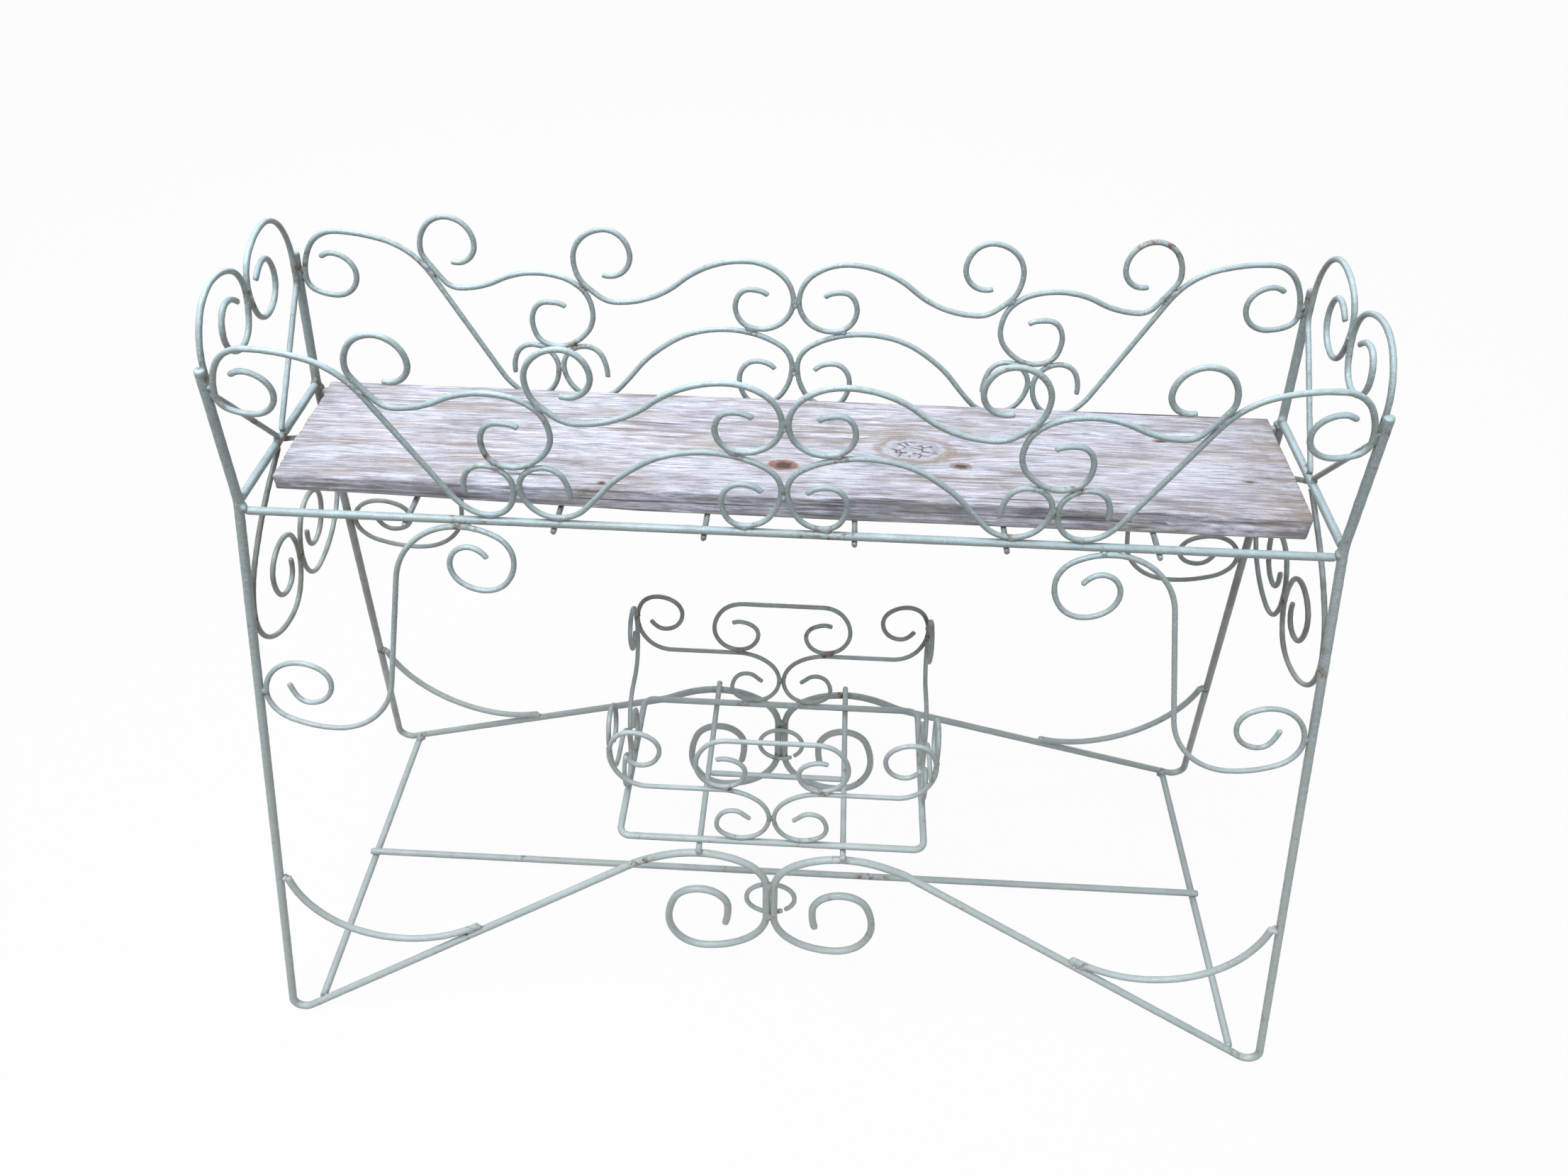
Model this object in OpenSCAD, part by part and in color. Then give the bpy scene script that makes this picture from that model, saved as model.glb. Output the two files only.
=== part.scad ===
// Potting bench: a bent and welded round-rod frame with scroll panels, a low basket and a loose plank on top.
// Millimetres. X runs along the bench, the front is -Y, Z is up, and the origin is on the ground at the middle.

/* [Overall size] */
// Distance between the left and right legs at the rails
leg_spacing = 996; // [800:1:1300]
// Distance between the front and back rails
rail_spacing = 204; // [160:1:300]
// Height of the long rails above the ground
rail_height = 690; // [550:1:850]
// Height of the tops of the legs
leg_height = 843; // [780:1:1050]

/* [Stance] */
// Distance of each foot from the middle, along the bench
foot_x = 590; // [450:1:760]
// Distance of each foot from the middle, front to back
foot_y = 224; // [180:1:300]
// Distance of the two arches from the middle, front to back
arch_y = 129; // [110:1:170]
// Sideways offset of the arches and the basket from the middle
arch_shift = -7; // [-20:1:20]
// Centre-line radius of the bend at each foot
foot_radius = 14; // [10:1:20]
// Slope of the rod where it runs up into the arch, in degrees
arch_slope = 26.6; // [20:0.1:35]
// How far the scroll panels on the rails lean outwards, in degrees
crest_lean = 2.8; // [0:0.1:8]

/* [Rods] */
// Rod of the legs, the arches, the ground rods and the stretcher
leg_rod = 9; // [7:0.5:12]
// Rod of the rails
rail_rod = 8; // [6:0.5:11]
// Rod of the scrolls and of the rods under the plank
scroll_rod = 5.5; // [4:0.5:7]
// Rod of the corner braces and of the basket's ring
brace_rod = 8; // [6:0.5:10]
// Rod of the two runners under the basket
runner_rod = 7; // [5:0.5:9]
// Rod of the small rings on the arches
ring_rod = 6; // [4:0.5:8]

/* [Plank and its rods] */
// Thickness of the plank
board_thickness = 26; // [15:1:40]
// Length of the plank
board_length = 955; // [760:1:1200]
// Front edge of the plank, measured from the middle
board_front = -76; // [-95:1:-50]
// Back edge of the plank, measured from the middle
board_back = 89; // [60:1:95]
// Number of rods under the plank
shelf_count = 6; // [4:1:9]

/* [Basket] */
// Length of the basket's ring, between rod centres
basket_length = 349; // [280:1:430]
// Width of the basket's ring, between rod centres
basket_width = 213; // [170:1:240]
// Distance of the basket's middle from the bench's middle, front to back
basket_shift = -14.5; // [-20:0.5:20]

/* [Hidden] */

paint = [0.62, 0.7, 0.68];
wood = [0.66, 0.64, 0.66];
// Clearance left at every welded contact
seat = 0.05;
// Pieces of one rod stop this far apart and are joined by a short core just inside the surface
gap = 0.01;
core_depth = 0.02;
core_length = 0.8;
round_sides = 24;
bend_sides = 60;
// A turn under this many degrees is a straight
straight_limit = 0.05;

// The scrolls are laid out for a bench of this size and stretched to fit others
drawn_spacing = 996;
drawn_depth = 204;
drawn_rail = 690;
drawn_crest = 153;
function wide(a) = a * leg_spacing / drawn_spacing;
function deep(b) = b * rail_spacing / drawn_depth;
function low(z) = z * rail_height / drawn_rail;
function high(h) = h * (leg_height - rail_height) / drawn_crest;

// Centre distance of two rods that touch
function touch(d1, d2) = (d1 + d2) / 2 + seat;
scroll_pair = touch(scroll_rod, scroll_rod);
half_pair = scroll_pair / 2;
leg_pair = touch(leg_rod, scroll_rod);
on_rail = touch(rail_rod, scroll_rod);

// Plane vectors and headings, all in degrees
function unit(a) = [cos(a), sin(a)];
function dir(v) = v / norm(v);
function heading(p, q) = atan2(q[1] - p[1], q[0] - p[0]);
function beside(s, off, turn = 0) = [s[0] + off * cos(s[2] + 90), s[1] + off * sin(s[2] + 90), s[2] + turn];
function mirrored(list) = [for (i = [len(list) - 1 : -1 : 0]) [-list[i][0], list[i][1], -list[i][2]]];

// A rod is a list of stations [x, y, heading], and two arcs that meet tangentially join each pair
function bend(t, w) = 2 * atan2(t[0] * w[1] - t[1] * w[0], t * w);
function reach(v, t, c) = abs(1 - c) < 0.000001 ? (v * v) / (2 * v * t)
  : (sqrt((v * t) * (v * t) + 2 * (1 - c) * (v * v)) - v * t) / (2 * (1 - c));
function arc_pair(a, b) =
  let (p = [a[0], a[1]], q = [b[0], b[1]], t = unit(a[2]), u = unit(b[2]))
  let (d = reach(q - p, t + u, t * u), m = (p + q + d * (t - u)) / 2, first = bend(t, m - p))
  abs(first) < straight_limit ? [[p, a[2], q]] : [[p, a[2], m], [m, a[2] + first, q]];
function pieces(stations) = [for (i = [0 : len(stations) - 2]) each arc_pair(stations[i], stations[i + 1])];

// One straight or bent piece [start, heading, end]
module piece(s, d) {
  w = s[2] - s[0];
  a = bend(unit(s[1]), w);
  if (abs(a) < straight_limit) {
    translate(s[0])
      rotate(s[1])
        translate([gap / 2, 0, 0])
          rotate([0, 90, 0])
            cylinder(d = d, h = norm(w) - gap, $fn = round_sides);
  } else {
    r = norm(w) / (2 * sin(abs(a) / 2));
    side = sign(a);
    skip = gap / r * 90 / PI;
    translate(s[0] + side * r * unit(s[1] + 90))
      rotate(s[1] - side * 90 + (side > 0 ? skip : a + skip))
        rotate_extrude(angle = abs(a) - 2 * skip, $fn = bend_sides)
          translate([r, 0])
            circle(d = d, $fn = round_sides);
  }
}

// The core across one joint
module core(d) {
  rotate([0, 90, 0])
    cylinder(d = d - 2 * core_depth, h = core_length, center = true, $fn = round_sides);
}

// A bent rod lying in the XY plane
module rod(stations, d, closed = false) {
  list = pieces(stations);
  for (i = [0 : len(list) - 1]) piece(list[i], d);
  for (i = [(closed ? 0 : 1) : len(list) - 1])
    translate(list[i][0])
      rotate(list[i][1])
        core(d);
}

// Puts its children at p with +X along u and +Y turned towards v
module place(p, u, v) {
  w = dir(v - (v * u) * u);
  n = cross(u, w);
  multmatrix([
    [u[0], w[0], n[0], p[0]],
    [u[1], w[1], n[1], p[1]],
    [u[2], w[2], n[2], p[2]]
  ]) children();
}

// A rod through corner points in space, with a bend radius at each inner corner
module chain(points, radii, d) {
  n = len(points);
  u = [for (i = [0 : n - 2]) dir(points[i + 1] - points[i])];
  turn = [for (i = [0 : n - 1]) i == 0 || i == n - 1 ? 0 : acos(u[i - 1] * u[i])];
  cut = [for (i = [0 : n - 1]) radii[i] * tan(turn[i] / 2)];
  for (i = [0 : n - 2]) {
    side = i < n - 2 ? u[i + 1] : u[i - 1];
    run = norm(points[i + 1] - points[i]) - cut[i] - cut[i + 1];
    place(points[i] + cut[i] * u[i], u[i], side) piece([[0, 0], 0, [run, 0]], d);
  }
  for (i = [1 : n - 2]) {
    place(points[i] - cut[i] * u[i - 1], u[i - 1], u[i]) {
      piece([[0, 0], 0, radii[i] * [sin(turn[i]), 1 - cos(turn[i])]], d);
      core(d);
    }
    place(points[i] + cut[i] * u[i], u[i], u[i - 1]) core(d);
  }
}

// side is 1 on the right and -1 on the left, face is 1 at the front and -1 at the back
module quarter(side, face) {
  mirror([side < 0 ? 1 : 0, 0, 0])
    mirror([0, face < 0 ? 1 : 0, 0])
      children();
}

// ---- Leg lines ----
rail_y = rail_spacing / 2;
rail_half = leg_spacing / 2;
// The legs bend where they pass the rails
bend_rise = 12;
bend_radius = 60;
bend_z = rail_height + bend_rise;
leg_lean_in = 12;
crest_height = leg_height - bend_z;
arch_start = [wide(155), low(212)];
arch_bend = 80;
arch_lead = 20;
leg_top = [rail_half - leg_lean_in, -rail_y - crest_height * tan(crest_lean), leg_height];
leg_bend = [rail_half, -rail_y, bend_z];

function foot_point(z) = [foot_x, -foot_y, z];
// Height of the corner of the foot bend that puts the underside of the rod on the ground
function foot_drop(u, v) = let (turn = acos(u * v), n = dir(cross(u, v)))
  dir(v - u)[2] * foot_radius / cos(turn / 2) - foot_radius * sqrt(1 - n[2] * n[2]);
foot_guess = -5;
foot_down = dir(foot_point(foot_guess) - leg_bend);
foot_out = dir([arch_start[0], -arch_y, arch_start[1]] - foot_point(foot_guess));
foot = foot_point(leg_rod / 2 - foot_drop(foot_down, foot_out));
// Outline of the leg below the rail, in the plane of its own side of the bench
splay_y = atan((foot_y - rail_y) / (bend_z - foot[2]));
splay_x = atan((foot_x - rail_half) / (bend_z - foot[2]));
leg_drop_x = (foot_x - rail_half) / ((bend_z - foot[2]) / cos(splay_y));
leg_drop_y = (foot_y - rail_y) / ((bend_z - foot[2]) / cos(splay_x));

// One leg, from its top down to the foot, along the ground brace and round the arch to the hook inside it
module leg(side, face) {
  shift = side * arch_shift;
  start = [arch_start[0] + shift, -arch_y, arch_start[1]];
  lead = [-cos(arch_slope), 0, sin(arch_slope)];
  join = start + arch_lead * lead;
  color(paint) quarter(side, face) {
    chain([leg_top, leg_bend, foot, start, join], [0, bend_radius, foot_radius, arch_bend, 0], leg_rod);
    translate([0, -arch_y, 0])
      rotate([90, 0, 0]) {
        rod(arch_path(shift, [join[0], join[2], 180 - arch_slope]), leg_rod);
        translate([join[0], join[2]])
          rotate(180 - arch_slope)
            core(leg_rod);
      }
  }
}

arch_top = low(235);
arch_top_x = wide(82.5);
kiss_high = low(173);
kiss_low = low(113);
function arch_path(shift, first) =
  let (kiss = shift + (leg_rod + seat) / 2)
  [
    first,
    [arch_top_x + shift, arch_top, 180],
    [kiss, kiss_high, 270],
    [kiss, kiss_low, 270],
    [wide(80) + shift, low(42), 0],
    [wide(124) + shift, low(98), 90],
    [wide(84) + shift, low(163), 180],
    [wide(51) + shift, low(128), 270],
    [wide(55) + shift, low(93), 285]
  ];

// ---- Rails and the rods under the plank ----
// The legs stand out from the rails where the rails meet them
leg_at_rail = rail_half + bend_rise * (foot_x - rail_half) / (bend_z - foot[2]);
rail_end = leg_at_rail - leg_rod / 2 - 2 * seat;
end_rail_z = rail_height + 10;
end_rail_end = rail_y - leg_rod / 2 + seat;

module long_rail(face) {
  color(paint)
    translate([-rail_end, -face * rail_y, rail_height])
      rotate([0, 90, 0])
        cylinder(d = rail_rod, h = 2 * rail_end, $fn = round_sides);
}

module end_rail(side) {
  color(paint)
    translate([side * rail_half, end_rail_end, end_rail_z])
      rotate([90, 0, 0])
        cylinder(d = rail_rod, h = 2 * end_rail_end, $fn = round_sides);
}

shelf_pitch = wide(137.5);
shelf_shift = -4;
shelf_overhang = 5;
shelf_z = rail_height - on_rail;

module shelf_rods() {
  color(paint)
    for (i = [0 : shelf_count - 1])
      translate([(i - (shelf_count - 1) / 2) * shelf_pitch + shelf_shift, rail_y + shelf_overhang, shelf_z])
        rotate([90, 0, 0])
          cylinder(d = scroll_rod, h = 2 * (rail_y + shelf_overhang), $fn = round_sides);
}

// ---- Scroll panels on the long rails ----
// Sideways distance and height above the rail, in the plane of the leaning panel
module on_crest(side, face) {
  quarter(side, face)
    translate([0, -rail_y + bend_rise * tan(crest_lean), rail_height])
      rotate([90 + crest_lean, 0, 0])
        children();
}

leg_up = heading([rail_half, bend_rise], [rail_half - leg_lean_in, leg_height - rail_height]);
leg_mark_h = high(128);
leg_mark = [rail_half - leg_lean_in * (leg_mark_h - bend_rise) / crest_height, leg_mark_h, leg_up];
// Where the outer scroll's straight begins and ends
slope_top = [wide(354), high(132)];
slope_foot = [wide(300), high(31)];
slope = heading(slope_top, slope_foot);
// Where the wave scroll touches the outer scroll, just above that straight
shoulder_mark = [wide(359.2), high(140.6), 237];
// The twin hooks between the two lower scrolls
hook_x = wide(238);
hook_r = 24;
hook_h = high(40);
// The wave scroll's end rests in the valley between the hooks
cradle_r = 30;
cradle_turn = asin((half_pair + hook_r) / (hook_r + cradle_r + scroll_pair));
cradle_x = (half_pair + hook_r) - (hook_r + scroll_pair) * sin(cradle_turn);
cradle_h = hook_h + (hook_r + scroll_pair) * cos(cradle_turn);
// Where the crown scroll touches the wave scroll, and where it rests on the lower scroll
wave_mark = [wide(210), high(126), 225];
arch_mark = [wide(44), high(85.6), 193];

outer_path = [
  [wide(462), high(149), 150],
  [wide(450), high(153), 185],
  [wide(430), high(133), 270],
  [wide(454), high(109.5), 0],
  beside(leg_mark, leg_pair),
  [wide(442), high(175), 180],
  shoulder_mark,
  [slope_top[0], slope_top[1], slope],
  [slope_foot[0], slope_foot[1], slope],
  [wide(268), on_rail, 180],
  [hook_x + half_pair, hook_h, 90],
  [hook_x + half_pair + hook_r, hook_h + hook_r, 0],
  [hook_x + half_pair + 2 * hook_r - 3, hook_h - 8, 265]
];

lower_path = [
  [hook_x - half_pair - 2 * hook_r + 4, hook_h - 10, 95],
  [hook_x - half_pair - hook_r, hook_h + hook_r, 0],
  [hook_x - half_pair, hook_h, 270],
  [wide(205), on_rail, 180],
  [wide(160), high(41), 128],
  [wide(125), high(72), 146],
  [wide(68), high(88.5), 180],
  arch_mark,
  [half_pair, high(50), 270],
  [wide(36), on_rail, 0],
  [wide(56), high(34), 90],
  [wide(38), high(55), 180],
  [wide(20), high(47), 232]
];

wave_path = [
  [wide(334), high(149), 200],
  [wide(309), high(168), 90],
  [wide(333), high(193), 0],
  [wide(362), high(160), 270],
  beside(shoulder_mark, -scroll_pair),
  [wide(330), high(122), 180],
  [wide(252), high(140.5), 180],
  wave_mark,
  [wide(200.5), high(100), 270],
  [hook_x - cradle_x, cradle_h, -cradle_turn],
  [hook_x + cradle_x, cradle_h, cradle_turn],
  [wide(262), high(89), 90],
  [wide(245), high(110.5), 180],
  [wide(227), high(106), 222]
];

crown_path = [
  [wide(188), high(141), 200],
  [wide(160), high(161), 90],
  [wide(183), high(186), 0],
  [wide(215), high(155), 270],
  beside(wave_mark, -scroll_pair),
  [wide(176.5), high(113), 180],
  [wide(49), high(160), 180],
  [half_pair, high(121), 270],
  beside(arch_mark, -scroll_pair, -180),
  [wide(59.5), high(113), 90],
  [wide(45), high(131.5), 180],
  [wide(27.5), high(126), 225]
];

module crest_scroll(path, side, face) {
  color(paint)
    on_crest(side, face)
      rod(path, scroll_rod);
}

// ---- Brackets below the long rails, in the plane of the two legs ----
function drop(z) = (low(z) - bend_z) / cos(splay_y);
leg_down = heading([0, 0], [leg_drop_x, -1]);
bracket_mark_z = drop(488);
bracket_mark = [rail_half - bracket_mark_z * leg_drop_x, bracket_mark_z, leg_down];
bracket_rise = [[wide(388), drop(503)], [wide(364), drop(628)]];
bracket_up = heading(bracket_rise[0], bracket_rise[1]);
// The rail's centre stands a little off this plane, so the highest point touches it at a slant
rail_off = bend_rise * sin(splay_y);
bracket_top = -bend_rise * cos(splay_y) - sqrt(on_rail * on_rail - rail_off * rail_off);

bracket_path = [
  [wide(493), drop(498), 260],
  [wide(475), drop(475), 180],
  [wide(450), drop(500), 90],
  [wide(480), drop(523), 0],
  beside(bracket_mark, -leg_pair),
  [wide(455), drop(444), 180],
  [bracket_rise[0][0], bracket_rise[0][1], bracket_up],
  [bracket_rise[1][0], bracket_rise[1][1], bracket_up],
  [wide(298), bracket_top, 180],
  [wide(250), drop(651), 270],
  [wide(280), drop(617), 0],
  [wide(311), drop(643), 90],
  [wide(292), drop(663), 180],
  [wide(275), drop(652), 240]
];

module bracket(side, face) {
  color(paint)
    quarter(side, face)
      translate([0, -rail_y, bend_z])
        rotate([90 - splay_y, 0, 0])
          rod(bracket_path, scroll_rod);
}

// ---- Braces between each leg and the rod that runs in from its foot ----
brace_leg = 237;
brace_leave = 16;
brace_foot = 275;

module brace(side, face) {
  shift = side * arch_shift;
  up = dir(leg_bend - foot);
  inward = dir([arch_start[0] + shift, -arch_y, arch_start[1]] - foot);
  angle = acos(up * inward);
  first = [brace_leg, leg_rod / 2 + brace_rod / 2 * cos(brace_leave) + seat, 180 - brace_leave];
  last = beside([brace_foot * cos(angle), brace_foot * sin(angle), angle], -touch(leg_rod, brace_rod));
  color(paint)
    quarter(side, face)
      place(foot, up, inward)
        rod([first, last], brace_rod);
}

// ---- Ends of the bench ----
// Outward distance and height, in the plane of the two leg tops
panel_tilt = atan(leg_lean_in / (leg_height - end_rail_z));
function panel(z) = high(z - drawn_rail) + rail_height - end_rail_z;
panel_leg = heading([0, 0], [tan(crest_lean), 1]);
function leg_y(z) = rail_y + (z - bend_z) * tan(crest_lean);
panel_rise = [deep(88), panel(801)];
panel_foot_z = rail_rod / 2 + scroll_rod / 2 * cos(49) + seat;
panel_up = heading([deep(5), panel_foot_z], panel_rise);

function panel_mark(z) = beside([leg_y(panel(z) + end_rail_z), panel(z), panel_leg], leg_pair);
end_panel_path = [
  [deep(5), panel_foot_z, panel_up],
  [panel_rise[0], panel_rise[1], panel_up],
  panel_mark(819),
  panel_mark(837),
  [deep(52), panel(896), 180],
  [half_pair, panel(858), 270],
  [deep(30), panel(819), 0],
  [deep(58), panel(845), 90],
  [deep(40), panel(868), 180],
  [deep(20), panel(858), 225]
];

module end_panel(side, face) {
  color(paint)
    quarter(side, face)
      translate([rail_half, 0, end_rail_z])
        rotate([90, 0, -90])
          rotate([panel_tilt, 0, 0])
            rod(end_panel_path, scroll_rod);
}

// Below the end rail, in the plane of the two legs of that end
function hang(z) = (low(z) - end_rail_z) / cos(splay_x);
end_leg_down = heading([0, 0], [leg_drop_y, -1]);
end_mark_z = hang(578);
end_mark = [rail_y + ((bend_z - end_rail_z) / cos(splay_x) - end_mark_z) * leg_drop_y, end_mark_z, end_leg_down];
hang_start = 32;
hang_top = -rail_rod / 2 - scroll_rod / 2 * cos(hang_start) - seat;

end_bracket_path = [
  [deep(8), hang_top, -hang_start],
  [deep(60), hang(658), -40],
  beside(end_mark, -leg_pair),
  [deep(42), hang(501), 180],
  [half_pair, hang(551), 90],
  [deep(38), hang(600), 0],
  [deep(68), hang(573), 270],
  [deep(40), hang(537), 180],
  [deep(24), hang(565), 75]
];

module end_bracket(side, face) {
  color(paint)
    quarter(side, face)
      translate([rail_half, 0, end_rail_z])
        rotate([90, 0, -90])
          rotate([splay_x, 0, 0])
            rod(end_bracket_path, scroll_rod);
}

// ---- Rods along the ground ----
ground_x = 35;
ground_z = 10;
ground_inset = foot_out[1] / -foot_out[0] * ground_x;
// The end stops just short of the slanting rod it is welded to
ground_stop = 0.65;
ground_end = foot_y - ground_inset - ground_stop * leg_rod;

module ground_rod(side) {
  color(paint)
    translate([side * (foot_x - ground_x), ground_end, ground_z])
      rotate([90, 0, 0])
        cylinder(d = leg_rod, h = 2 * ground_end, $fn = round_sides);
}

stretcher_end = foot_x - ground_x + 5;
module stretcher() {
  color(paint)
    translate([-stretcher_end, 0, ground_z + touch(leg_rod, leg_rod)])
      rotate([0, 90, 0])
        cylinder(d = leg_rod, h = 2 * stretcher_end, $fn = round_sides);
}

// ---- Small rings on the inner side of the arches ----
ring_r = 29;
ring_z = low(140);
ring_open = 8;

module arch_ring(face) {
  color(paint)
    translate([arch_shift, -face * (arch_y - touch(leg_rod, ring_rod)), ring_z])
      rotate([90, 0, 0])
        rotate(ring_open - 60)
          rotate_extrude(angle = 360 - ring_open, $fn = bend_sides)
            translate([ring_r, 0])
              circle(d = ring_rod, $fn = round_sides);
}

// ---- Basket ----
runner_z = arch_top + touch(leg_rod, runner_rod);
basket_z = runner_z + touch(runner_rod, brace_rod);
basket_x = basket_length / 2;
basket_y = basket_width / 2;
basket_corner = 12;
runner_over = 6;
tie_y = -18;
tie_end = arch_top_x - runner_rod / 2 - 2 * seat;
foot_of_scroll = basket_z + touch(brace_rod, scroll_rod);

module basket_ring() {
  flat_x = basket_x - basket_corner;
  flat_y = basket_y - basket_corner;
  color(paint)
    translate([arch_shift, basket_shift, basket_z])
      rod([
        [0, basket_y, 180],
        [-flat_x, basket_y, 180],
        [-basket_x, flat_y, 270],
        [-basket_x, -flat_y, 270],
        [-flat_x, -basket_y, 0],
        [flat_x, -basket_y, 0],
        [basket_x, -flat_y, 90],
        [basket_x, flat_y, 90],
        [flat_x, basket_y, 180],
        [0, basket_y, 180]
      ], brace_rod, true);
}

module basket_runners() {
  color(paint)
    for (side = [-1, 1])
      translate([arch_shift + side * arch_top_x, arch_y + runner_over, runner_z])
        rotate([90, 0, 0])
          cylinder(d = runner_rod, h = 2 * (arch_y + runner_over), $fn = round_sides);
}

module basket_tie() {
  color(paint)
    translate([arch_shift - tie_end, tie_y, runner_z])
      rotate([0, 90, 0])
        cylinder(d = runner_rod, h = 2 * tie_end, $fn = round_sides);
}

arm_z = low(342);
basket_scroll_path = [
  [wide(24), low(293), 40],
  [wide(43), low(306), 0],
  [wide(62), low(280), 270],
  [wide(35), foot_of_scroll, 180],
  [half_pair, low(295), 90],
  [wide(55), arm_z, 0],
  [wide(135), arm_z, 0],
  [basket_x, low(391), 90],
  [wide(148), low(429), 180],
  [wide(120), low(403), 270],
  [wide(142), low(377), 0],
  [wide(158), low(390), 65]
];

cup_half = [
  [wide(60), low(392), 160],
  [wide(50), low(394), 185],
  [wide(29), low(374), 270],
  [wide(53), arm_z + scroll_pair, 0],
  [wide(82), low(381), 90],
  [wide(47), low(423), 180]
];

side_scroll_path = [
  [deep(20), low(291), 40],
  [deep(35), low(302), 0],
  [deep(50), low(279), 270],
  [deep(28), foot_of_scroll, 180],
  [half_pair, low(295), 90],
  [deep(42), low(340), 0],
  [deep(62), low(340), 0],
  [basket_y - scroll_pair, low(391), 90],
  [deep(78), low(428), 180],
  [deep(55), low(405), 270],
  [deep(72), low(381), 0],
  [deep(85), low(391), 65]
];

// Stands its children up on the front or the back of the basket's ring
module on_basket(face) {
  translate([arch_shift, basket_shift - face * basket_y, 0])
    rotate([90, 0, 0])
      children();
}

module basket_scroll(side, face) {
  color(paint)
    on_basket(face)
      mirror([side < 0 ? 1 : 0, 0, 0])
        rod(basket_scroll_path, scroll_rod);
}

module basket_cup(face) {
  color(paint)
    on_basket(face)
      rod(concat(cup_half, mirrored(cup_half)), scroll_rod);
}

module basket_side(side) {
  color(paint)
    translate([arch_shift + side * basket_x, basket_shift, 0])
      rotate([90, 0, 90])
        for (hand = [0, 1])
          mirror([hand, 0, 0])
            rod(side_scroll_path, scroll_rod);
}

// ---- Plank ----
// It lies loose on the shelf rods, and its front edge is a little out of square
board_skew = 3;
board_gap = 0.3;

module board() {
  bottom = shelf_z + scroll_rod / 2 + board_gap;
  half = board_length / 2;
  color(wood)
    translate([0, 0, bottom])
      linear_extrude(board_thickness)
        polygon([
          [-half, board_front],
          [half, board_front + board_skew],
          [half, board_back],
          [-half, board_back - board_skew / 2]
        ]);
}

leg(1, 1);  // leg_front_right
leg(-1, 1);  // leg_front_left
leg(1, -1);  // leg_back_right
leg(-1, -1);  // leg_back_left
long_rail(1);  // rail_front
long_rail(-1);  // rail_back
end_rail(1);  // rail_end_right
end_rail(-1);  // rail_end_left
shelf_rods();
crest_scroll(outer_path, 1, 1);  // crest_outer_front_right
crest_scroll(outer_path, -1, 1);  // crest_outer_front_left
crest_scroll(outer_path, 1, -1);  // crest_outer_back_right
crest_scroll(outer_path, -1, -1);  // crest_outer_back_left
crest_scroll(lower_path, 1, 1);  // crest_lower_front_right
crest_scroll(lower_path, -1, 1);  // crest_lower_front_left
crest_scroll(lower_path, 1, -1);  // crest_lower_back_right
crest_scroll(lower_path, -1, -1);  // crest_lower_back_left
crest_scroll(wave_path, 1, 1);  // crest_wave_front_right
crest_scroll(wave_path, -1, 1);  // crest_wave_front_left
crest_scroll(wave_path, 1, -1);  // crest_wave_back_right
crest_scroll(wave_path, -1, -1);  // crest_wave_back_left
crest_scroll(crown_path, 1, 1);  // crest_crown_front_right
crest_scroll(crown_path, -1, 1);  // crest_crown_front_left
crest_scroll(crown_path, 1, -1);  // crest_crown_back_right
crest_scroll(crown_path, -1, -1);  // crest_crown_back_left
bracket(1, 1);  // bracket_front_right
bracket(-1, 1);  // bracket_front_left
bracket(1, -1);  // bracket_back_right
bracket(-1, -1);  // bracket_back_left
brace(1, 1);  // brace_front_right
brace(-1, 1);  // brace_front_left
brace(1, -1);  // brace_back_right
brace(-1, -1);  // brace_back_left
end_panel(1, 1);  // end_panel_front_right
end_panel(-1, 1);  // end_panel_front_left
end_panel(1, -1);  // end_panel_back_right
end_panel(-1, -1);  // end_panel_back_left
end_bracket(1, 1);  // end_bracket_front_right
end_bracket(-1, 1);  // end_bracket_front_left
end_bracket(1, -1);  // end_bracket_back_right
end_bracket(-1, -1);  // end_bracket_back_left
ground_rod(1);  // ground_rod_right
ground_rod(-1);  // ground_rod_left
stretcher();
arch_ring(1);  // ring_front
arch_ring(-1);  // ring_back
basket_ring();
basket_runners();
basket_tie();
basket_scroll(1, 1);  // basket_front_right
basket_scroll(-1, 1);  // basket_front_left
basket_cup(1);  // basket_front_cup
basket_scroll(1, -1);  // basket_back_right
basket_scroll(-1, -1);  // basket_back_left
basket_cup(-1);  // basket_back_cup
basket_side(1);  // basket_side_right
basket_side(-1);  // basket_side_left
board();
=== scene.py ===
# %% [markdown]
# # A potting bench of bent rod with a weathered plank
# The real bench is made of round steel rod. Each piece is bent cold into its scroll, welded to its neighbours
# and painted a grey green that has since gone chalky and rusty at the joints. A loose plank lies on top.
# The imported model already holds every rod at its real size, so this script gives each one its hand-made
# finish, adds the welds, and shapes the plank. Loading the frame comes first, because every piece rides
# on it.
# %% load the frame
import math
import random

import bmesh
import bpy
from mathutils import Matrix, Vector, noise
from mathutils.bvhtree import BVHTree
from mathutils.kdtree import KDTree


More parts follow.
